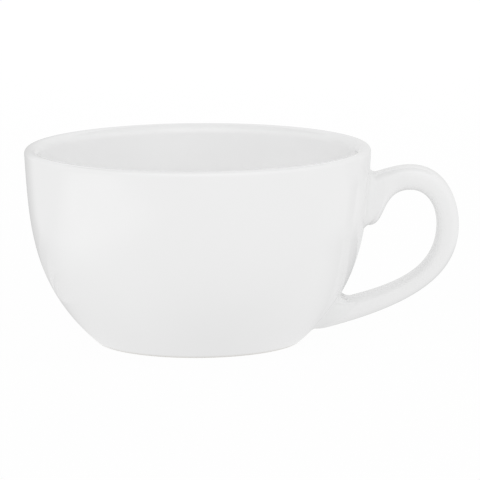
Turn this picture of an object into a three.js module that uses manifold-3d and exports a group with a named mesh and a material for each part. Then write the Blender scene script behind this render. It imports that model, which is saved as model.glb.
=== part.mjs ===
// A wide white glazed cup with a loop handle, in millimetres, +Z up.
// The bowl is roller-formed in one piece with its foot ring. The handle is cast by itself and luted on:
// a pad of slip, which is liquid clay, lies between each end of the handle and the bowl's wall.
import * as THREE from "three";
import { mergeVertices } from "three/addons/utils/BufferGeometryUtils.js";
import Module from "manifold-3d";

// Bowl: the outside of its wall
const cupHeight = 63;
const rimRadius = 56;
const footEdgeRadius = 33; // where the wall's line would meet the table
const wallLean = 3.3; // how far the wall leans in over its height, before the belly tucks under
const bellyPower = 3.5; // a higher power keeps the wall upright for longer
const footCornerRadius = 1;

// Bowl: its thickness, inside and underside
const lipThickness = 3.6;
const heelGain = 1.4; // how much thicker the wall is at the foot than at the lip
const floorHeight = 7; // inside floor above the table
const wellRadius = 16; // rounding between the inside floor and the wall
const footRingWidth = 4;
const recessDepth = 2;
const recessCornerRadius = 1.2;

// Handle: where it joins the wall, below the rim and above the table
const upperJointTopDrop = 9.1;
const upperJointBottomDrop = 25.5;
const lowerJointTop = 12.5;
const lowerJointBottom = 2.2;

// Handle: the loop between the joints
const handleReach = 28.25; // beyond the rim
const crownReach = 12.5; // beyond the rim, to the top of the loop
const crownDrop = 6.4; // below the rim
const crownThickness = 7.8;
const backHeight = 37.5; // height of the loop's outermost point
const backThickness = 7.2;
const strapWidth = 11;
const jointWidth = 14;
const sectionPower = 2.5; // 2 is an ellipse, and more is a squarer section
const upperSlope = 0.23; // rise of the top line where it leaves the wall
const undersideSlope = -0.24; // the same for the underside, which dips before it rises
const lowerSlope = 0.24; // rise of both lines where they leave the lower joint

// Handle: how far each line runs on in its own direction before it bends, from joint to joint
const outerPulls = {
  joint: 4.3,
  crownBefore: 4.5,
  crownAfter: 12.5,
  backAbove: 6.5,
  backBelow: 17,
  end: 35,
};
const innerPulls = {
  joint: 7.6,
  crownBefore: 10.4,
  crownAfter: 5.4,
  backAbove: 6,
  backBelow: 16.6,
  end: 17.2,
};

// Slip pads between the handle and the wall
const slipThickness = 1;
const slipBead = 1.8; // how far the pad spreads past the handle's end, on the wall
const fitGap = 0.3; // between two pieces that meet

const trimStock = 3; // run of the untrimmed loop into the wall

// Fineness of the faceted solids
const turnSteps = 64;
const wallSteps = 14;
const arcSteps = 4;
const lipSteps = 8;
const loopSteps = 14; // for each of the loop's three stretches
const sectionSteps = 24;
const padSteps = 8;

const wasm = await Module();
wasm.setup();

const glazeWhite = 0xf2f2f1;
const glaze = () => new THREE.MeshStandardMaterial({ color: glazeWhite, roughness: 0.12, metalness: 0 });

// Outside of the wall at a height: a straight lean, and a belly that tucks under towards the foot
const bellyTuck = rimRadius - wallLean - footEdgeRadius;
const shareBelowRim = (z) => Math.max(0, 1 - z / cupHeight);
const wallThickness = (z) => lipThickness + heelGain * shareBelowRim(z) ** 2;

function wallRadius(z) {
  const share = shareBelowRim(z);
  return rimRadius - wallLean * share - bellyTuck * share ** bellyPower;
}

// Angle of the wall from upright, which is also how far its outward direction points down
function wallAngle(z) {
  const share = shareBelowRim(z);
  return Math.atan((wallLean + bellyTuck * bellyPower * share ** (bellyPower - 1)) / cupHeight);
}

// Point at a distance outwards from the wall, square to it. A negative distance is inside the wall.
function offWall(z, distance) {
  const angle = wallAngle(z);
  return new THREE.Vector2(wallRadius(z) + distance * Math.cos(angle), z - distance * Math.sin(angle));
}

// Height between two limits where a rising function reaches a value
function heightWhere(rising, value, low, high) {
  for (let i = 0; i < 50; i += 1) {
    const middle = (low + high) / 2;
    if (rising(middle) < value) low = middle;
    else high = middle;
  }
  return (low + high) / 2;
}

const range = (steps) => Array.from({ length: steps + 1 }, (_, i) => i / steps);

function arcPoints(centre, radius, from, to, steps) {
  return range(steps).map((t) => {
    const angle = from + (to - from) * t;
    return new THREE.Vector2(centre.x + radius * Math.cos(angle), centre.y + radius * Math.sin(angle));
  });
}

// A profile of (radius, height) turned about the upright axis
function turned(profile) {
  return new THREE.LatheGeometry(profile, turnSteps).rotateX(Math.PI / 2);
}

// Bowl, with its lip, wall, foot ring and recessed base: one line round half of its section
function bowlGeometry() {
  const lipRadius = lipThickness / 2;
  const lipCentreHeight = (z) => offWall(z, -lipRadius).y;
  const lipBase = heightWhere(lipCentreHeight, cupHeight - lipRadius, 0, cupHeight);

  const footCentreHeight = (z) => offWall(z, -footCornerRadius).y;
  const footZ = heightWhere(footCentreHeight, footCornerRadius, -footCornerRadius, cupHeight);
  const footCentre = offWall(footZ, -footCornerRadius);
  const footCorner = arcPoints(footCentre, footCornerRadius, -Math.PI / 2, -wallAngle(footZ), arcSteps);

  const outerWall = range(wallSteps).map((t) => offWall(footZ + (lipBase - footZ) * t, 0));
  const lipCentre = offWall(lipBase, -lipRadius);
  const lip = arcPoints(lipCentre, lipRadius, -wallAngle(lipBase), Math.PI - wallAngle(lipBase), lipSteps);

  const wellCentreHeight = (z) => offWall(z, -wallThickness(z) - wellRadius).y;
  const wellZ = heightWhere(wellCentreHeight, floorHeight + wellRadius, -floorHeight, lipBase);
  const innerWall = range(wallSteps).map((t) => {
    const z = lipBase + (wellZ - lipBase) * t;
    return offWall(z, -wallThickness(z));
  });
  const wellCentre = offWall(wellZ, -wallThickness(wellZ) - wellRadius);
  const well = arcPoints(wellCentre, wellRadius, -wallAngle(wellZ), -Math.PI / 2, arcSteps);

  const ringInner = footCentre.x - footRingWidth;
  const recessRounding = Math.min(recessCornerRadius, recessDepth);
  const recessCentre = new THREE.Vector2(ringInner - recessRounding, recessDepth - recessRounding);
  const recessCorner = arcPoints(recessCentre, recessRounding, Math.PI / 2, 0, arcSteps);

  return turned([
    new THREE.Vector2(0, recessDepth),
    ...recessCorner,
    new THREE.Vector2(ringInner, 0),
    ...footCorner,
    ...outerWall.slice(1),
    ...lip.slice(1),
    ...innerWall.slice(1),
    ...well.slice(1),
    new THREE.Vector2(0, floorHeight),
  ]);
}

// Everything inside a surface that lies at a distance off the wall, for trimming what meets the wall
function plugGeometry(distance) {
  const wall = range(2 * wallSteps).map((t) => offWall(cupHeight * t, distance));
  const bottom = offWall(-trimStock, distance);
  const top = new THREE.Vector2(wall.at(-1).x, cupHeight + trimStock);
  return turned([new THREE.Vector2(0, bottom.y), bottom, ...wall, top, new THREE.Vector2(0, top.y)]);
}

// One line of the handle's loop, in its own plane: joint, crown, outermost point and lower joint
function loopLine(joint, jointSlope, crown, back, end, pulls) {
  const v = (x, y) => new THREE.Vector2(x, y);
  const afterJoint = v(1, jointSlope).setLength(pulls.joint).add(joint);
  const beforeCrown = v(crown.x - pulls.crownBefore, crown.y);
  const afterCrown = v(crown.x + pulls.crownAfter, crown.y);
  const beforeBack = v(back.x, back.y + pulls.backAbove);
  const afterBack = v(back.x, back.y - pulls.backBelow);
  const beforeEnd = v(1, lowerSlope).setLength(pulls.end).add(end);
  return [
    new THREE.CubicBezierCurve(joint, afterJoint, beforeCrown, crown),
    new THREE.CubicBezierCurve(crown, afterCrown, beforeBack, back),
    new THREE.CubicBezierCurve(back, afterBack, beforeEnd, end),
  ];
}

const backX = rimRadius + handleReach;
const crownX = rimRadius + crownReach;
const crownZ = cupHeight - crownDrop;
const outerLine = loopLine(
  offWall(cupHeight - upperJointTopDrop, 0),
  upperSlope,
  new THREE.Vector2(crownX, crownZ),
  new THREE.Vector2(backX, backHeight),
  offWall(lowerJointBottom, 0),
  outerPulls,
);
const innerLine = loopLine(
  offWall(cupHeight - upperJointBottomDrop, 0),
  undersideSlope,
  new THREE.Vector2(crownX, crownZ - crownThickness),
  new THREE.Vector2(backX - backThickness, backHeight),
  offWall(lowerJointTop, 0),
  innerPulls,
);

// Point of a line at 0 to 3 along its stretches. At -1 and 4 it has run straight on into the wall.
function pointOn(line, place) {
  const i = THREE.MathUtils.clamp(Math.floor(place), 0, 2);
  const inside = THREE.MathUtils.clamp(place - i, 0, 1);
  const run = (place - i - inside) * trimStock;
  return line[i].getPoint(inside).addScaledVector(line[i].getTangent(inside), run);
}

// Full width of the strap: wide at both joints, narrow round the loop
function widthAt(place) {
  const fromJoint = Math.max(0, Math.min(place, 3 - place));
  return strapWidth + (jointWidth - strapWidth) * (1 - THREE.MathUtils.smoothstep(fromJoint, 0, 1));
}

// Points round the handle's section at a place on the loop
function sectionAt(place) {
  const outer = pointOn(outerLine, place);
  const inner = pointOn(innerLine, place);
  const middle = outer.clone().add(inner).multiplyScalar(0.5);
  const half = outer.clone().sub(inner).multiplyScalar(0.5);
  const halfWidth = widthAt(place) / 2;
  const rounded = (c) => Math.sign(c) * Math.abs(c) ** (2 / sectionPower);
  return range(sectionSteps).slice(1).map((t) => {
    const across = rounded(Math.cos(2 * Math.PI * t));
    const side = rounded(Math.sin(2 * Math.PI * t));
    return new THREE.Vector3(middle.x + half.x * across, halfWidth * side, middle.y + half.y * across);
  });
}

function centreOf(points) {
  return points.reduce((sum, p) => sum.add(p), new THREE.Vector3()).divideScalar(points.length);
}

// A closed skin over a row of sections, with a cap at each end
function skinned(sections) {
  const count = sections[0].length;
  const points = sections.flat();
  const first = points.push(centreOf(sections[0])) - 1;
  const last = points.push(centreOf(sections.at(-1))) - 1;
  const faces = [];
  for (let i = 0; i < count; i += 1) {
    const next = (i + 1) % count;
    for (let s = 0; s + 1 < sections.length; s += 1) {
      const a = s * count + i;
      const b = s * count + next;
      faces.push(a, a + count, b, b, a + count, b + count);
    }
    const end = (sections.length - 1) * count;
    faces.push(first, i, next, last, end + next, end + i);
  }
  return new THREE.BufferGeometry().setFromPoints(points).setIndex(faces);
}

// Distance of a point from the outside of the wall, near enough for the few millimetres of a joint
function distanceOffWall(p) {
  return (Math.hypot(p.x, p.y) - wallRadius(p.z)) * Math.cos(wallAngle(p.z));
}

const jointLength = slipThickness + 2 * fitGap; // from the wall to the handle's trimmed end
const padRun = 4 * jointLength; // along the loop, which leaves the wall at a slant

// Spread of a slip pad at a point: full on the wall, and none where it meets the handle
function padSpread(p) {
  const up = THREE.MathUtils.clamp(distanceOffWall(p) / jointLength, 0, 1);
  return slipBead * (1 - up) ** 2;
}

// Section of a slip pad: the handle's own, spread outwards from its middle
function padSectionAt(place) {
  const section = sectionAt(place);
  const centre = centreOf(section);
  return section.map((p) => p.clone().sub(centre).setLength(padSpread(p)).add(p));
}

function solidFrom(geometry) {
  const bare = geometry.clone();
  bare.deleteAttribute("normal");
  bare.deleteAttribute("uv");
  const merged = mergeVertices(bare);
  const faces = [];
  for (let i = 0; i < merged.index.count; i += 3) {
    const [a, b, c] = [0, 1, 2].map((k) => merged.index.getX(i + k));
    if (a !== b && b !== c && c !== a) faces.push(a, b, c);
  }
  return new wasm.Manifold(
    new wasm.Mesh({
      numProp: 3,
      vertProperties: new Float32Array(merged.attributes.position.array),
      triVerts: new Uint32Array(faces),
    }),
  );
}

function geometryFrom(solid) {
  const mesh = solid.getMesh();
  return new THREE.BufferGeometry()
    .setAttribute("position", new THREE.BufferAttribute(new Float32Array(mesh.vertProperties), 3))
    .setIndex(Array.from(mesh.triVerts));
}

const plug = (distance) => solidFrom(plugGeometry(distance));

// Share of a stretch of the loop that a pad's run takes up, on the shorter of its two lines
const padReach = (i) => padRun / Math.min(outerLine[i].getLength(), innerLine[i].getLength());

// Handle: the whole loop, trimmed at both ends to stand on its slip pads
function handleGeometry() {
  const places = [-1, ...range(3 * loopSteps).map((t) => 3 * t), 4];
  return geometryFrom(solidFrom(skinned(places.map(sectionAt))).subtract(plug(jointLength)));
}

// Slip pad: a thin saddle on the wall, under one end of the handle
function padGeometry(places) {
  const blank = solidFrom(skinned(places.map(padSectionAt)));
  return geometryFrom(blank.intersect(plug(fitGap + slipThickness)).subtract(plug(fitGap)));
}

function piece(name, geometry) {
  const mesh = new THREE.Mesh(geometry, glaze());
  mesh.name = name;
  return mesh;
}

// The cup stands with the middle of its whole footprint, handle included, at the origin
const cup = new THREE.Group();
cup.position.x = -handleReach / 2;
const upperPlaces = [-1, ...range(padSteps).map((t) => t * padReach(0))];
const lowerPlaces = [...range(padSteps).map((t) => 3 - (1 - t) * padReach(2)), 4];
cup.add(
  piece("bowl", bowlGeometry()),
  piece("handle", handleGeometry()),
  piece("upper_slip_joint", padGeometry(upperPlaces)),
  piece("lower_slip_joint", padGeometry(lowerPlaces)),
);

const part = new THREE.Group();
part.add(cup);
export default part;
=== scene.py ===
import bpy
import numpy as np
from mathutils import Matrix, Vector


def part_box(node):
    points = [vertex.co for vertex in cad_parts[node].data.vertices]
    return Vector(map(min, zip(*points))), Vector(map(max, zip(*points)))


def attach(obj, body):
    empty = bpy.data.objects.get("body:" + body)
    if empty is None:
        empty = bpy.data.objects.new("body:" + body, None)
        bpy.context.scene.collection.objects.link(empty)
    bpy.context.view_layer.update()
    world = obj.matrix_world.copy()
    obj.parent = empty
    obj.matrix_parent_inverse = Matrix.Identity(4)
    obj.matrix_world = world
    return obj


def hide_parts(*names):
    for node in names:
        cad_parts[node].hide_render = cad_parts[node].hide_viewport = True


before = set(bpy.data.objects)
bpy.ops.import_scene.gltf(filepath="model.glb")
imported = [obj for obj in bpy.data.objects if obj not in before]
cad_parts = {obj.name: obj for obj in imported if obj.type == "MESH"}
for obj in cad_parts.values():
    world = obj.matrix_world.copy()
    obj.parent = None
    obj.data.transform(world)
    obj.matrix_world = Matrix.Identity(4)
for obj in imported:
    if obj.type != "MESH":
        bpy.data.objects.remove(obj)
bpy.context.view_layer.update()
print("frame loaded:", ", ".join(sorted(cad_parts)))

mm = 0.001
bowlLow, bowlHigh = (np.array(corner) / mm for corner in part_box("bowl"))
handleLow, handleHigh = (np.array(corner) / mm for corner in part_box("handle"))
axisX = (bowlLow[0] + bowlHigh[0]) / 2  # upright axis of the bowl
cupHeight = bowlHigh[2]

# Camera: where it stands, how it is tipped, and how long its lens is
camera = {
    "aim": (-0.645, 0.0, 32.373),  # mm, what the middle of the picture shows
    "distance": 1400.0,
    "elevation": 9.531,  # degrees above the table
    "roll": -0.341,
    "lens": 324.465,
    "clip": (0.05, 20.0),  # m
}
lightBounces = 8  # light goes round many times inside a white cup


def makeCamera(name, sizes):
    data = bpy.data.cameras.new(name)
    data.lens = sizes["lens"]
    data.clip_start, data.clip_end = sizes["clip"]
    rig = bpy.data.objects.new(name, data)
    bpy.context.scene.collection.objects.link(rig)
    rise = np.radians(sizes["elevation"])
    back = np.array([0.0, -np.cos(rise), np.sin(rise)])
    rig.location = (np.array(sizes["aim"]) + sizes["distance"] * back) * mm
    rig.rotation_mode = "ZYX"
    rig.rotation_euler = (np.pi / 2 - rise, 0.0, np.radians(sizes["roll"]))
    bpy.context.scene.camera = rig


makeCamera("camera", camera)
bpy.context.scene.view_settings.view_transform = "Standard"
bpy.context.scene.cycles.diffuse_bounces = lightBounces
print("camera set")


# A skin over a grid of points: its columns close into rings, and a fan to a middle point closes each end
def closedSkin(rings, firstMiddle, lastMiddle):
    rows, columns = rings.shape[:2]
    points = np.concatenate([rings.reshape(-1, 3), [firstMiddle], [lastMiddle]])
    here = np.arange(columns)
    after = (here + 1) % columns
    start = columns * np.arange(rows - 1)[:, None]
    quads = np.stack([start + here, start + after, start + columns + after, start + columns + here], -1)
    end = columns * (rows - 1)
    first = np.stack([after, here, np.full(columns, rows * columns)], -1)
    last = np.stack([end + here, end + after, np.full(columns, rows * columns + 1)], -1)
    return points, quads.reshape(-1, 4), np.concatenate([first, last])


# Volume inside a closed skin: a sixth of the sum of corner triple products, which is negative inside out
def skinVolume(points, quads, triangles):
    split = np.concatenate([quads[:, [0, 1, 2]], quads[:, [0, 2, 3]], triangles])
    a, b, c = (points[split[:, k]] for k in range(3))
    return np.einsum("ij,ij->i", a, np.cross(b, c)).sum() / 6


# Marks whole rings of a skin sharp, such as those where a cap meets the outside
def sharpenRows(mesh, columns, rows):
    ends = np.empty(2 * len(mesh.edges), np.int32)
    mesh.edges.foreach_get("vertices", ends)
    row = ends.reshape(-1, 2) // columns
    onRow = (row[:, 0] == row[:, 1]) & np.isin(row[:, 0], rows)
    sharp = mesh.attributes.get("sharp_edge") or mesh.attributes.new("sharp_edge", "BOOLEAN", "EDGE")
    before = np.empty(len(onRow), bool)
    sharp.data.foreach_get("value", before)
    sharp.data.foreach_set("value", before | onRow)


# A piece from a skin in mm about the bowl's axis, with a value at each point for every mask
def makePiece(name, skin, node, masks=None, sharpRows=(), creaseAngle=50):
    points, quads, triangles = skin
    volume = skinVolume(*skin)
    if volume < 0:
        quads, triangles = quads[:, ::-1], triangles[:, ::-1]
    place = (points + [axisX, 0.0, 0.0]) * mm
    mesh = bpy.data.meshes.new(name)
    mesh.from_pydata(place, [], quads.tolist() + triangles.tolist())
    for mask, values in (masks or {}).items():
        spread = np.concatenate([values.ravel(), values[0, :1], values[-1, :1]]).astype(np.float32)
        mesh.attributes.new(mask, "FLOAT", "POINT").data.foreach_set("value", spread)
    mesh.shade_smooth()
    mesh.set_sharp_from_angle(angle=np.radians(creaseAngle))
    if sharpRows:
        sharpenRows(mesh, len(triangles) // 2, sharpRows)
    piece = bpy.data.objects.new(name, mesh)
    bpy.context.scene.collection.objects.link(piece)
    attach(piece, "root")
    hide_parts(node)
    print(f"{name}: {len(points)} points, {abs(volume) / 1000:.1f} cm3")
    return piece


# Smooth step from 0 to 1 between two values
def ease(value, low, high):
    share = np.clip((value - low) / (high - low), 0.0, 1.0)
    return share * share * (3 - 2 * share)


halvings = 45


# Place between two limits where a rising function reaches a target, by halving, for whole arrays at once
def solveRising(rising, target, low, high):
    low = np.broadcast_to(np.asarray(low, float), np.shape(target)).copy()
    high = np.broadcast_to(np.asarray(high, float), np.shape(target)).copy()
    for _ in range(halvings):
        middle = (low + high) / 2
        under = rising(middle) < target
        low = np.where(under, middle, low)
        high = np.where(under, high, middle)
    return (low + high) / 2


# Bowl: one line round half of its section, turned about the upright axis
bowl = {
    "wallLean": 3.3,  # mm, how far the wall leans in over its height, before the belly tucks under
    "bellyPower": 3.5,  # a higher power keeps the wall upright for longer
    "footEdgeRadius": 33.0,  # where the wall's line would meet the table
    "footCornerRadius": 1.0,
    "lipThickness": 4.6,
    "lipOuterRadius": 1.5,  # rounding on the outside, and the inside's rounding takes the rest of the lip
    "heelGain": 0.4,  # how much thicker the wall is at the foot than at the lip
    "floorHeight": 7.0,
    "floorDish": 0.4,
    "wellRadius": 16.0,  # rounding between the inside floor and the wall
    "footRingWidth": 4.0,
    "ringEdgeRadius": 0.5,
    "recessDepth": 2.0,
    "recessDome": 0.5,
    "recessCornerRadius": 1.2,
    "glazeLine": (0.175, 0.35),  # heights on the foot ring between which bare clay turns to glaze
    "middleRadius": 0.3,  # where the fans that close the section's ends begin
    "columns": 256,
    "rows": {"recess": 18, "ring": 10, "outerWall": 84, "innerWall": 64, "floor": 20},
    "arcSteps": {"recess": 6, "ringEdge": 6, "foot": 8, "lipOuter": 16, "lipInner": 24, "well": 32},
}
cadLipRadius = 1.8  # rounding of the lip on the solid
rimRadius = (bowlHigh[0] - bowlLow[0]) / 2 + bowl["wallLean"] * cadLipRadius / cupHeight
bellyTuck = rimRadius - bowl["wallLean"] - bowl["footEdgeRadius"]


# Outside of the wall: rim radius, less a straight lean, less a belly that grows as a power of the share
# below the rim
def wallRadius(z):
    share = np.clip(1 - z / cupHeight, 0, None)
    return rimRadius - bowl["wallLean"] * share - bellyTuck * share ** bowl["bellyPower"]


# Angle of the wall from upright: the arc tangent of that line's slope
def wallAngle(z):
    share = np.clip(1 - z / cupHeight, 0, None)
    power = bowl["bellyPower"]
    return np.arctan((bowl["wallLean"] + bellyTuck * power * share ** (power - 1)) / cupHeight)


# Points at a distance outwards from the wall, square to it, as radius and height
def offWall(z, distance):
    angle = wallAngle(z)
    return np.stack([wallRadius(z) + distance * np.cos(angle), z - distance * np.sin(angle)], -1)


# Lip's thickness, and a gain that grows as the square of the share below the rim
def wallThickness(z):
    return bowl["lipThickness"] + bowl["heelGain"] * np.clip(1 - z / cupHeight, 0, None) ** 2


def arc(centre, radius, start, stop, steps):
    angle = np.linspace(start, stop, steps + 1)
    return centre + radius * np.stack([np.cos(angle), np.sin(angle)], -1)


# Section from the middle of the underside, round the foot, wall and lip, to the middle of the inside floor
def bowlProfile():
    foot, well = bowl["footCornerRadius"], bowl["wellRadius"]
    lipOuter, thickness = bowl["lipOuterRadius"], bowl["lipThickness"]
    lipZ = solveRising(lambda z: offWall(z, -lipOuter)[..., 1], cupHeight - lipOuter, 0, cupHeight)
    lean = wallAngle(lipZ)
    lipInner = (thickness - lipOuter * (1 + np.sin(lean))) / (1 - np.sin(lean))
    innerTop = cupHeight - lipInner - (thickness - lipInner) * np.sin(lean)  # where the inner wall begins
    footZ = solveRising(lambda z: offWall(z, -foot)[..., 1], foot, -foot, cupHeight)
    wellTop = bowl["floorHeight"] + well
    wellZ = solveRising(lambda z: offWall(z, -wallThickness(z) - well)[..., 1], wellTop, 0, lipZ)
    lipCentre, footCentre = offWall(lipZ, -lipOuter), offWall(footZ, -foot)
    innerCentre = lipCentre - [0, lipInner - lipOuter]
    wellCentre = offWall(wellZ, -wallThickness(wellZ) - well)

    edge, corner, depth = bowl["ringEdgeRadius"], bowl["recessCornerRadius"], bowl["recessDepth"]
    ringInner = footCentre[0] - bowl["footRingWidth"]
    ringEdgeCentre = np.array([ringInner + edge, edge])
    recessCentre = np.array([ringInner - corner, depth - corner])
    rows, steps = bowl["rows"], bowl["arcSteps"]
    underside = np.linspace(bowl["middleRadius"], recessCentre[0], rows["recess"])[:-1]
    dome = depth + bowl["recessDome"] * (1 - (underside / recessCentre[0]) ** 2)
    inside = np.linspace(wellCentre[0], bowl["middleRadius"], rows["floor"])[1:]
    dish = bowl["floorHeight"] - bowl["floorDish"] * (1 - (inside / wellCentre[0]) ** 2)
    ring = np.linspace(ringInner + edge, footCentre[0], rows["ring"])[1:-1]
    outerZ = np.linspace(footZ, lipZ, rows["outerWall"])[1:-1]
    innerZ = np.linspace(innerTop, wellZ, rows["innerWall"])[1:-1]
    return np.concatenate([
        np.stack([underside, dome], -1),
        arc(recessCentre, corner, np.pi / 2, 0, steps["recess"]),
        arc(ringEdgeCentre, edge, np.pi, 3 * np.pi / 2, steps["ringEdge"]),
        np.stack([ring, np.zeros_like(ring)], -1),
        arc(footCentre, foot, -np.pi / 2, -wallAngle(footZ), steps["foot"]),
        offWall(outerZ, 0),
        arc(lipCentre, lipOuter, -lean, np.pi / 2, steps["lipOuter"]),
        arc(innerCentre, lipInner, np.pi / 2, np.pi - lean, steps["lipInner"])[1:],
        offWall(innerZ, -wallThickness(innerZ)),
        arc(wellCentre, well, -wallAngle(wellZ), -np.pi / 2, steps["well"]),
        np.stack([inside, dish], -1),
    ])


# Turning: a point at radius r and angle t stands at r times cosine t, r times sine t
def turnedBowl():
    profile = bowlProfile()
    turn = 2 * np.pi * np.arange(bowl["columns"]) / bowl["columns"]
    radius, height = profile[:, :1], profile[:, 1:]
    rings = np.stack(np.broadcast_arrays(radius * np.cos(turn), radius * np.sin(turn), height), -1)
    skin = closedSkin(rings, [0, 0, profile[0, 1]], [0, 0, profile[-1, 1]])
    onRing = 1 - ease(height, *bowl["glazeLine"])
    return skin, np.broadcast_to(onRing, rings.shape[:2])


bowlSkin, bareRing = turnedBowl()
bowlPiece = makePiece("glazed_bowl", bowlSkin, "bowl", {"bare": bareRing})

# Handle: an outer and an inner line in the loop's own plane, with a rounded section carried between them.
# Each line is three curves long, and a place on it runs from 0 at the upper joint to 3 at the lower one.
loopEnd = 3.0
loop = {
    "reach": handleHigh[0] - axisX - rimRadius,  # mm beyond the rim
    "crownReach": 12.5,
    "crownDrop": 6.4,
    "crownThickness": 7.8,
    "backHeight": 37.5,
    "backThickness": 7.2,
    "upperTopDrop": 9.1,  # joint's edges, below the rim
    "upperBottomDrop": 25.5,
    "lowerTop": 12.5,  # joint's edges, above the table
    "lowerBottom": 2.4,
    "strapWidth": 11.0,
    "jointWidth": 14.0,
    "flareRun": 1.0,  # stretch of places over which the strap widens to a joint
    "sectionPower": 3.2,  # 2 is an ellipse, and more is a squarer section
    "lowerSectionPower": 2.6,  # the same at the lower joint, where the strap is rounder
    "softening": (1.6, 2.6),  # places between which it changes
    "upperSlope": 0.23,
    "undersideSlope": -0.24,
    "lowerSlope": 0.24,
    "toeLift": 1.2,  # mm that the underside rises just before the lower joint
    "toeRun": 0.057,  # stretch of places over which it rises
    # how far the curves hold their direction: at the joint, before and after the crown, above and below
    # the back, at the lower end
    "outerPulls": (4.3, 4.5, 12.5, 6.5, 17.0, 35.0),
    "innerPulls": (7.6, 10.4, 5.4, 6.0, 16.6, 17.2),
    "stock": 3.0,  # straight run of the lines into the wall
    "columns": 160,
    "rows": 360,
}


# One line of the loop as three cubic curves: joint to crown, crown to back, back to the lower joint
def loopLine(joint, slope, crown, back, end, pulls):
    atJoint, beforeCrown, afterCrown, aboveBack, belowBack, atEnd = pulls
    leave = np.array([1, slope]) / np.hypot(1, slope)
    arrive = np.array([1, loop["lowerSlope"]]) / np.hypot(1, loop["lowerSlope"])
    across, up = np.array([1.0, 0.0]), np.array([0.0, 1.0])
    return np.array([
        [joint, joint + atJoint * leave, crown - beforeCrown * across, crown],
        [crown, crown + afterCrown * across, back + aboveBack * up, back],
        [back, back - belowBack * up, end + atEnd * arrive, end],
    ])


crown = np.array([rimRadius + loop["crownReach"], cupHeight - loop["crownDrop"]])
back = np.array([rimRadius + loop["reach"], loop["backHeight"]])
outerLine = loopLine(offWall(cupHeight - loop["upperTopDrop"], 0), loop["upperSlope"], crown, back,
                     offWall(loop["lowerBottom"], 0), loop["outerPulls"])
innerLine = loopLine(offWall(cupHeight - loop["upperBottomDrop"], 0), loop["undersideSlope"],
                     crown - [0, loop["crownThickness"]], back - [loop["backThickness"], 0],
                     offWall(loop["lowerTop"], 0), loop["innerPulls"])


def unit(vector):
    return vector / np.linalg.norm(vector, axis=-1, keepdims=True)


# Points on a line at places along its curves, by the cubic's weights, and straight on past either end
def onLine(line, place):
    part = np.clip(np.floor(place), 0, len(line) - 1).astype(int)
    t = np.clip(place - part, 0, 1)[..., None]
    p, q, r, s = (line[part, k] for k in range(4))
    u = 1 - t
    point = u**3 * p + 3 * u * u * t * q + 3 * u * t * t * r + t**3 * s
    heading = unit(u * u * (q - p) + 2 * u * t * (r - q) + t * t * (s - r))
    return point + (place[..., None] - part[..., None] - t) * loop["stock"] * heading


# Section: sine and cosine raised to a power under one, which squares the ellipse, between the two lines
def loopPoint(place, turn):
    place, turn = np.broadcast_arrays(place, turn)
    outer, inner = onLine(outerLine, place), onLine(innerLine, place)
    toeShare = np.clip((place - loopEnd) / loop["toeRun"] + 1, 0, 1)
    outer[..., 1] += loop["toeLift"] * toeShare ** 2
    softened = ease(place, *loop["softening"])
    power = 2 / (loop["sectionPower"] + (loop["lowerSectionPower"] - loop["sectionPower"]) * softened)
    across = np.sign(np.cos(turn)) * np.abs(np.cos(turn)) ** power
    side = np.sign(np.sin(turn)) * np.abs(np.sin(turn)) ** power
    fromJoint = np.clip(np.minimum(place, loopEnd - place), 0, None)
    flare = 1 - ease(fromJoint, 0, loop["flareRun"])
    width = loop["strapWidth"] + (loop["jointWidth"] - loop["strapWidth"]) * flare
    flat = (outer + inner) / 2 + (outer - inner) / 2 * across[..., None]
    return np.stack([flat[..., 0], width / 2 * side, flat[..., 1]], -1)


# Distance of points outwards from the wall, near enough for the few millimetres of a joint
def distanceOffWall(point):
    x, y, z = np.moveaxis(point, -1, 0)
    return (np.hypot(x, y) - wallRadius(z)) * np.cos(wallAngle(z))


# Outward direction of the wall at a point
def wallNormal(point):
    x, y, z = np.moveaxis(point, -1, 0)
    angle = wallAngle(z)
    flat = np.cos(angle) / np.hypot(x, y)
    return np.stack([x * flat, y * flat, -np.sin(angle)], -1)


# Slip joints: a fillet rolled round each end of the handle, tangent to the strap and to the wall
slip = {
    "upper": {"outerRadius": 1.4, "innerRadius": 0.7, "sideRadius": 6.0, "end": 0.0, "inwards": 1.0},  # mm
    "lower": {"outerRadius": 1.0, "innerRadius": 1.0, "sideRadius": 6.0, "end": loopEnd, "inwards": -1.0},
    "lift": 0.0015,  # edge of the fillet, just proud of the facets of the wall
    "sunk": 0.03,  # back of the pad, into the wall
    "search": 0.75,  # stretch of places that is searched on either side of the wall
    "step": 1e-4,  # small step that gives a direction
    "corrections": 4,  # rounds that bring a point onto the wall
    "filletRows": 26,
    "capRows": 6,
}
ringTurn = 2 * np.pi * np.arange(loop["columns"]) / loop["columns"]


# Puts points on the surface that lies at a distance off the wall
def ontoWall(point, distance):
    for _ in range(slip["corrections"]):
        point = point + (distance - distanceOffWall(point))[..., None] * wallNormal(point)
    return point


# Radius round a joint: from the inner to the outer one with the cosine, and up to the side's with the
# square of the sine
def filletRadius(joint):
    inner, outer, side = joint["innerRadius"], joint["outerRadius"], joint["sideRadius"]
    radius = inner + (outer - inner) * ((1 + np.cos(ringTurn)) / 2)
    return radius + (side - (inner + outer) / 2) * np.sin(ringTurn) ** 2


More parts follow.
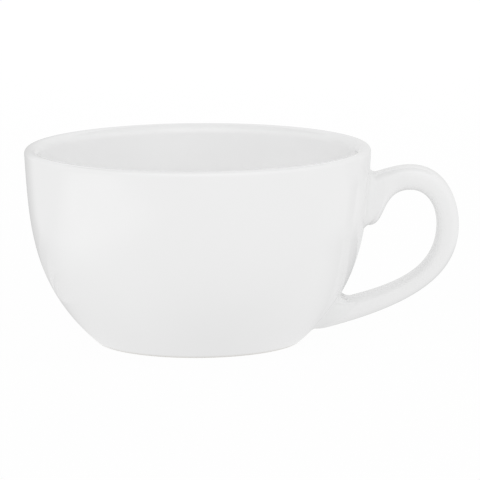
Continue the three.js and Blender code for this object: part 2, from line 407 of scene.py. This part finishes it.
# Fillet in the corner between a line of the strap and the wall. With the corner's angle w, a ball of
# radius b touches both at b / tan(w / 2) from the corner, and the arc between is a conic of weight
# sin(w / 2). Its middle point lies on the strap's own direction at one end and on the wall's plane at the
# other, so both ends run smooth.
def filletRings(joint):
    end, inwards, step = joint["end"], joint["inwards"], slip["step"]

    def away(run):
        return loopPoint(end + inwards * run, ringTurn)

    def runAt(distance):
        target = np.broadcast_to(distance, ringTurn.shape)
        return solveRising(lambda run: distanceOffWall(away(run)), target, -slip["search"], slip["search"])

    runFoot = runAt(0.0)
    corner = away(runFoot)
    along = unit(away(runFoot + step) - corner)
    aroundStrap = unit(loopPoint(end + inwards * runFoot, ringTurn + step) - corner)
    outwards = unit(np.cross(along, aroundStrap))
    outwards *= np.sign(np.sum(outwards * (corner - corner.mean(0)), -1, keepdims=True))
    normal = wallNormal(corner)
    spread = unit(outwards - np.sum(outwards * normal, -1, keepdims=True) * normal)
    angle = np.arccos(np.clip(np.sum(along * spread, -1), -1, 1))

    length = filletRadius(joint) / np.tan(angle / 2)
    runTop = runAt(length * np.sin(angle))
    top = away(runTop)
    toe = ontoWall(corner + length[:, None] * spread, slip["lift"])
    heading, facing = unit(away(runTop + step) - top), wallNormal(toe)
    fall = np.sum((top - toe) * facing, -1) / np.sum(heading * facing, -1)
    middle = top - fall[:, None] * heading
    t = (1 - np.cos(np.pi * np.linspace(0, 1, slip["filletRows"])))[:, None, None] / 2
    weight = 2 * t * (1 - t) * np.sin(angle / 2)[:, None]
    total = (1 - t) ** 2 + weight + t * t
    return ((1 - t) ** 2 * top + weight * middle + t * t * toe) / total, end + inwards * runTop


# Pad: the fillet, closed by a cap against the strap and by one on the wall
def padSkin(rings):
    top, toe = rings[0], rings[-1]
    share = np.linspace(1, 0, slip["capRows"])[:-1, None, None]
    topCap = (top.mean(0) + (top - top.mean(0)) * share[1:])[::-1]
    toeCap = ontoWall(toe.mean(0) + (toe - toe.mean(0)) * share, -slip["sunk"])
    toeMiddle = ontoWall(toe.mean(0), -slip["sunk"])
    return closedSkin(np.concatenate([topCap, rings, toeCap]), top.mean(0), toeMiddle)


# Painted shade in the fillet's crease: half a sine wave from the strap to the wall, and none on the caps
def padCreaseShade(columns):
    creaseShade = np.sin(np.pi * np.linspace(0, 1, slip["filletRows"]))
    edges = np.zeros(slip["capRows"] - 1)
    column = np.concatenate([edges[1:], creaseShade, edges])[:, None]
    return np.broadcast_to(column, (len(column), columns))


upperRings, upperStart = filletRings(slip["upper"])
lowerRings, lowerStart = filletRings(slip["lower"])
alongStrap = np.linspace(0, 1, loop["rows"])[:, None]
strapRings = loopPoint(upperStart + (lowerStart - upperStart) * alongStrap, ringTurn)
strapSkin = closedSkin(strapRings, strapRings[0].mean(0), strapRings[-1].mean(0))
# painted shade along the fillets' creases, as a mask on the slip pieces
creaseShade = {"creaseShade": padCreaseShade(loop["columns"])}
padTop = slip["capRows"] - 2  # the pad's ring on the strap
padToe = padTop + slip["filletRows"] - 1  # its ring on the wall, and the next lies straight under that
padRows = (padTop, padToe, padToe + 1)
handlePiece = makePiece("strap_handle", strapSkin, "handle", sharpRows=(0, loop["rows"] - 1))
upperPiece = makePiece("upper_slip_fillet", padSkin(upperRings), "upper_slip_joint", creaseShade, padRows)
lowerPiece = makePiece("lower_slip_fillet", padSkin(lowerRings), "lower_slip_joint", creaseShade, padRows)


# Nodes of a shader tree, their values, and a grey as a colour
def addNode(tree, kind, **settings):
    node = tree.nodes.new(kind)
    for key, value in settings.items():
        setattr(node, key, value)
    return node


def setInputs(node, **values):
    for key, value in values.items():
        node.inputs[key].default_value = value
    return node


def grey(level):
    return (level, level, level, 1)


# Coat: each noise has a scale and a detail. Heights are in mm.
coatLook = {
    "driftNoise": (45.0, 2.0),
    "creaseShadeShare": 0.1,  # how much of the painted crease shade shows
    # grey of the painted shade in the joints' creases
    "creaseShadeTone": (0.70, 0.71, 0.71, 1),
    "clayNoise": (2600.0, 3.0),
    "clayTones": ((0.66, 0.64, 0.60, 1), (0.76, 0.74, 0.70, 1)),
    "satinNoise": (120.0, 3.0),
    "satinSpread": 0.03,  # roughness that the noise adds
    "bareRoughness": 0.55,  # roughness that bare clay adds
    "swellNoise": (95.0, 1.0),
    "peelNoise": (620.0, 2.0),
    "peelShare": 0.12,  # height of the fine ripple, as a share of the broad one
    "grainNoise": (5200.0, 2.0),
    "grainHeight": 0.05,
    "refraction": 1.5,
}


# Glaze coat shared by the pieces: tone that drifts over the ware, a slightly uneven surface, a grey painted
# shade in the creases of the joints where a mask marks them, and bare clay where there is no coat
def glazeCoatGroup():
    group = bpy.data.node_groups.new("glazeCoat", "ShaderNodeTree")
    sockets = (
        ("Place", "INPUT", "NodeSocketVector"),
        ("White", "INPUT", "NodeSocketColor"),
        ("CreaseShade", "INPUT", "NodeSocketFloat"),
        ("Bare", "INPUT", "NodeSocketFloat"),
        ("Drift", "INPUT", "NodeSocketFloat"),
        ("Ripple", "INPUT", "NodeSocketFloat"),
        ("Gloss", "INPUT", "NodeSocketFloat"),
        ("Color", "OUTPUT", "NodeSocketColor"),
        ("Roughness", "OUTPUT", "NodeSocketFloat"),
        ("Height", "OUTPUT", "NodeSocketFloat"),
    )
    for name, way, kind in sockets:
        group.interface.new_socket(name, in_out=way, socket_type=kind)
    link = group.links.new
    given = addNode(group, "NodeGroupInput").outputs
    result = addNode(group, "NodeGroupOutput").inputs

    # a number or a colour is set on a socket, and an output is linked to it
    def feed(socket, value):
        if isinstance(value, (float, tuple)):
            socket.default_value = value
        else:
            link(value, socket)

    def noise(name):
        scale, detail = coatLook[name]
        node = addNode(group, "ShaderNodeTexNoise", noise_dimensions="3D")
        setInputs(node, Scale=scale, Detail=detail)
        link(given["Place"], node.inputs["Vector"])
        return node.outputs["Fac"]

    def math(operation, first, second):
        node = addNode(group, "ShaderNodeMath", operation=operation)
        feed(node.inputs[0], first)
        feed(node.inputs[1], second)
        return node.outputs[0]

    def mixColor(factor, first, second):
        node = addNode(group, "ShaderNodeMix", data_type="RGBA")
        firstColor, secondColor, mixed = node.inputs[6], node.inputs[7], node.outputs[2]  # its colour sockets
        link(factor, node.inputs["Factor"])
        feed(firstColor, first)
        feed(secondColor, second)
        return mixed

    # colour: a drift about the white, a grey painted shade in the joints' creases, and clay
    broad = math("SUBTRACT", noise("driftNoise"), 0.5)
    tone = math("ADD", 1.0, math("MULTIPLY", broad, given["Drift"]))
    drifted = addNode(group, "ShaderNodeVectorMath", operation="SCALE")
    link(given["White"], drifted.inputs[0])
    link(tone, drifted.inputs["Scale"])
    # painted shade: the grey is mixed in where the crease mask is high
    creaseShadeDepth = math("MULTIPLY", given["CreaseShade"], coatLook["creaseShadeShare"])
    creaseShaded = mixColor(creaseShadeDepth, drifted.outputs[0], coatLook["creaseShadeTone"])
    clay = mixColor(noise("clayNoise"), *coatLook["clayTones"])
    link(mixColor(given["Bare"], creaseShaded, clay), result["Color"])

    # roughness: a little uneven on glaze, and high on clay
    uneven = math("MULTIPLY", noise("satinNoise"), coatLook["satinSpread"])
    satin = math("ADD", given["Gloss"], uneven)
    dry = math("MULTIPLY", given["Bare"], coatLook["bareRoughness"])
    link(math("ADD", satin, dry), result["Roughness"])

    # height: a broad and a fine ripple of the glaze, and the grain of the clay
    swell = math("MULTIPLY", noise("swellNoise"), given["Ripple"])
    peel = math("MULTIPLY", noise("peelNoise"), math("MULTIPLY", given["Ripple"], coatLook["peelShare"]))
    grain = math("MULTIPLY", noise("grainNoise"), math("MULTIPLY", given["Bare"], coatLook["grainHeight"]))
    link(math("ADD", math("ADD", swell, peel), grain), result["Height"])
    return group


glazeCoat = glazeCoatGroup()

# Finishes: the same coat on each piece, with its own values. Ripple is a height in mm.
finishes = {
    "bowlGlaze": {"white": 0.92, "drift": 0.02, "ripple": 0.012, "gloss": 0.07},
    "handleGlaze": {"white": 0.92, "drift": 0.02, "ripple": 0.010, "gloss": 0.08},
    "slipGlaze": {"white": 0.915, "drift": 0.02, "ripple": 0.008, "gloss": 0.07},
}


def glazeMaterial(name, masks):
    look = finishes[name]
    material = bpy.data.materials.new(name)
    material.use_nodes = True
    tree = material.node_tree
    link = tree.links.new
    shader = tree.nodes["Principled BSDF"]
    setInputs(shader, IOR=coatLook["refraction"])
    place = addNode(tree, "ShaderNodeTexCoord")
    coat = addNode(tree, "ShaderNodeGroup", node_tree=glazeCoat)
    setInputs(coat, White=grey(look["white"]), Drift=look["drift"])
    setInputs(coat, Ripple=look["ripple"], Gloss=look["gloss"])
    link(place.outputs["Object"], coat.inputs["Place"])
    for socket, mask in masks.items():
        reader = addNode(tree, "ShaderNodeAttribute", attribute_name=mask)
        link(reader.outputs["Fac"], coat.inputs[socket])
    bump = addNode(tree, "ShaderNodeBump")
    setInputs(bump, Strength=1.0, Distance=mm)
    link(coat.outputs["Height"], bump.inputs["Height"])
    link(coat.outputs["Color"], shader.inputs["Base Color"])
    link(coat.outputs["Roughness"], shader.inputs["Roughness"])
    link(bump.outputs["Normal"], shader.inputs["Normal"])
    return material


# the slip fillets take the painted crease shade from their mask
slipGlaze = glazeMaterial("slipGlaze", {"CreaseShade": "creaseShade"})
bowlPiece.data.materials.append(glazeMaterial("bowlGlaze", {"Bare": "bare"}))
handlePiece.data.materials.append(glazeMaterial("handleGlaze", {}))
upperPiece.data.materials.append(slipGlaze)
lowerPiece.data.materials.append(slipGlaze)
print("glaze on")

# Studio: white surroundings, soft boxes and a pale floor that keeps the shadow. Lengths are in m.
studio = {
    "surroundings": 0.72,  # light from all round on matt surfaces
    "floorSize": 6.0,
    "floorWhite": 0.95,
    "floorGlow": 0.95,  # share of the floor that shows as plain white, the rest takes the shadow
    "floorBounce": 0.81,  # light that the floor sends up at the object
    "aim": (0.0, 0.0, 0.03),
    "boxDistance": 1.1,
    "boxSize": 0.45,
}
softBoxes = {
    "leftBox": {"turn": -125.0, "rise": 25.0, "radiance": 2.0},  # degrees from straight behind, and up
    "rightBox": {"turn": 105.0, "rise": 25.0, "radiance": 2.4},
    "frontBox": {"turn": 180.0, "rise": 20.0, "radiance": 1.6},
    "backBox": {"turn": 0.0, "rise": 20.0, "radiance": 3.0},
    "topBox": {"turn": 180.0, "rise": 80.0, "radiance": 0.3},
}

# Cards that only reflections see: grey ones behind the mug, which draw the fine line round its edges, a dim
# one above it, and bright ones on the left and over the camera. Each is full over its core, given as half its
# width and height, and thins out to nothing at its own edge. Its radiance changes from left to right.
crosswise, backwards, upwards = np.eye(3)
cardLift = 0.001  # of a card that lies on the floor
edgeMiddle, edgeHalf = -0.0075, 0.1075  # along x, of the two cards that follow the mug's edge
edgeChange = (-0.085, -0.03)  # along x, where their radiance changes
evenChange = (0.0, 1.0)  # for cards of one radiance, on which nothing changes
cards = {
    "edgeCard": {"middle": (edgeMiddle, 0.10, 0.0), "up": upwards, "core": (edgeHalf, 0.08), "fade": 0.06,
                 "radiance": (0.6, 0.8), "change": edgeChange},
    "sideCard": {"middle": (0.26, 0.105, 0.0), "up": upwards, "core": (0.06, 0.08), "fade": 0.08,
                 "radiance": (0.82, 0.9), "change": (0.15, 0.30)},
    "floorCard": {"middle": (edgeMiddle, 0.08, cardLift), "up": backwards, "core": (edgeHalf, 0.05),
                  "fade": 0.06, "radiance": (0.7, 0.55), "change": edgeChange},
    "leftCard": {"middle": (-0.22, -0.10, cardLift), "up": backwards, "core": (0.06, 0.06), "fade": 0.09,
                 "radiance": (1.6, 1.6), "change": evenChange},
    "topCard": {"middle": (0.0, 0.0975, 0.45), "up": backwards, "core": (0.3, 0.18), "fade": 0.1,
                "radiance": (0.3, 0.3), "change": evenChange},
    "frontCard": {"middle": (0.0, -0.45, 0.45), "up": backwards, "core": (0.25, 0.1), "fade": 0.12,
                  "radiance": (1.4, 1.4), "change": evenChange},
}


# One where a ray comes from the camera, a reflection or a clear body, else zero
def seenMask(tree):
    path = addNode(tree, "ShaderNodeLightPath")
    first = addNode(tree, "ShaderNodeMath", operation="MAXIMUM")
    both = addNode(tree, "ShaderNodeMath", operation="MAXIMUM")
    tree.links.new(path.outputs["Is Camera Ray"], first.inputs[0])
    tree.links.new(path.outputs["Is Glossy Ray"], first.inputs[1])
    tree.links.new(first.outputs[0], both.inputs[0])
    tree.links.new(path.outputs["Is Transmission Ray"], both.inputs[1])
    return both.outputs[0]


# A value for rays that light the object, and another for rays that are seen
def bySight(tree, lighting, seen):
    level = addNode(tree, "ShaderNodeMapRange")
    setInputs(level, **{"To Min": lighting, "To Max": seen})
    tree.links.new(seenMask(tree), level.inputs["Value"])
    return level.outputs[0]


def makeSurroundings():
    world = bpy.data.worlds.new("surroundings")
    bpy.context.scene.world = world
    world.use_nodes = True
    world.cycles.sampling_method = "NONE"  # rays aimed at a light all look alike to Light Path
    tree = world.node_tree
    light = tree.nodes["Background"]
    setInputs(light, Color=grey(1))
    tree.links.new(bySight(tree, studio["surroundings"], 1.0), light.inputs["Strength"])


# A plane of the stage from its middle and two half sides, with an emission ready in an empty material
def stagePlane(name, middle, halfAcross, halfUp):
    corners = [middle - halfAcross - halfUp, middle + halfAcross - halfUp,
               middle + halfAcross + halfUp, middle - halfAcross + halfUp]
    mesh = bpy.data.meshes.new(name)
    mesh.from_pydata(corners, [], [(0, 1, 2, 3)])
    plane = bpy.data.objects.new(name, mesh)
    bpy.context.scene.collection.objects.link(plane)
    material = bpy.data.materials.new(name)
    material.use_nodes = True
    material.cycles.emission_sampling = "NONE"
    plane.data.materials.append(material)
    tree = material.node_tree
    tree.nodes.remove(tree.nodes["Principled BSDF"])
    glow = addNode(tree, "ShaderNodeEmission")
    setInputs(glow, Color=grey(1))
    return plane, tree, glow


# Shows one shader where the share is 0 and another where it is 1
def blendShaders(tree, share, first, second):
    blend = addNode(tree, "ShaderNodeMixShader")
    tree.links.new(share, blend.inputs[0])
    tree.links.new(first.outputs[0], blend.inputs[1])
    tree.links.new(second.outputs[0], blend.inputs[2])
    tree.links.new(blend.outputs[0], tree.nodes["Material Output"].inputs["Surface"])


def makeFloor():
    half = studio["floorSize"] / 2
    floor, tree, glow = stagePlane("floor", np.zeros(3), half * crosswise, half * backwards)
    matt = addNode(tree, "ShaderNodeBsdfDiffuse")
    setInputs(matt, Color=grey(studio["floorWhite"]))
    tree.links.new(bySight(tree, studio["floorBounce"], 1.0), glow.inputs["Strength"])
    blendShaders(tree, bySight(tree, 1.0, studio["floorGlow"]), matt, glow)


# A square lamp of even radiance sends out radiance times its area times pi
def makeSoftBox(name, box):
    data = bpy.data.lights.new(name, "AREA")
    data.size = studio["boxSize"]
    data.energy = box["radiance"] * studio["boxSize"] ** 2 * np.pi
    lamp = bpy.data.objects.new(name, data)
    bpy.context.scene.collection.objects.link(lamp)
    turn, rise = np.radians(box["turn"]), np.radians(box["rise"])
    out = Vector((np.sin(turn) * np.cos(rise), np.cos(turn) * np.cos(rise), np.sin(rise)))
    lamp.location = Vector(studio["aim"]) + studio["boxDistance"] * out
    lamp.rotation_euler = out.to_track_quat("Z", "Y").to_euler()
    lamp.visible_camera = False
    lamp.visible_glossy = False


def makeCard(name, card):
    middle, up, fade = np.array(card["middle"]), card["up"], card["fade"]
    halfWide, halfHigh = card["core"]
    plane, tree, glow = stagePlane(name, middle, (halfWide + fade) * crosswise, (halfHigh + fade) * up)
    plane.visible_camera = False
    plane.visible_diffuse = False
    plane.visible_transmission = False
    plane.visible_volume_scatter = False
    plane.visible_shadow = False

    def vector(operation, first, second=None):
        node = addNode(tree, "ShaderNodeVectorMath", operation=operation)
        tree.links.new(first, node.inputs[0])
        if second is not None:
            node.inputs[1].default_value = second
        return node.outputs["Value" if operation in ("LENGTH", "DOT_PRODUCT") else "Vector"]

    # smooth change from one level to another as a value goes from start to stop
    def graded(value, start, stop, low, high):
        node = addNode(tree, "ShaderNodeMapRange", interpolation_type="SMOOTHSTEP")
        setInputs(node, **{"From Min": start, "From Max": stop, "To Min": low, "To Max": high})
        tree.links.new(value, node.inputs["Value"])
        return node.outputs[0]

    # distance outside the core, from the sides that stand out past it
    place = addNode(tree, "ShaderNodeTexCoord").outputs["Object"]
    inside = vector("ABSOLUTE", vector("SUBTRACT", place, middle))
    core = halfWide * crosswise + halfHigh * up
    beyond = vector("LENGTH", vector("MAXIMUM", vector("SUBTRACT", inside, core), (0, 0, 0)))
    level = graded(vector("DOT_PRODUCT", place, crosswise), *card["change"], *card["radiance"])
    tree.links.new(level, glow.inputs["Strength"])
    clear = addNode(tree, "ShaderNodeBsdfTransparent")
    blendShaders(tree, graded(beyond, 0.0, fade, 0.0, 1.0), glow, clear)


makeSurroundings()
makeFloor()
for name, box in softBoxes.items():
    makeSoftBox(name, box)
for name, card in cards.items():
    makeCard(name, card)
print("studio lit")
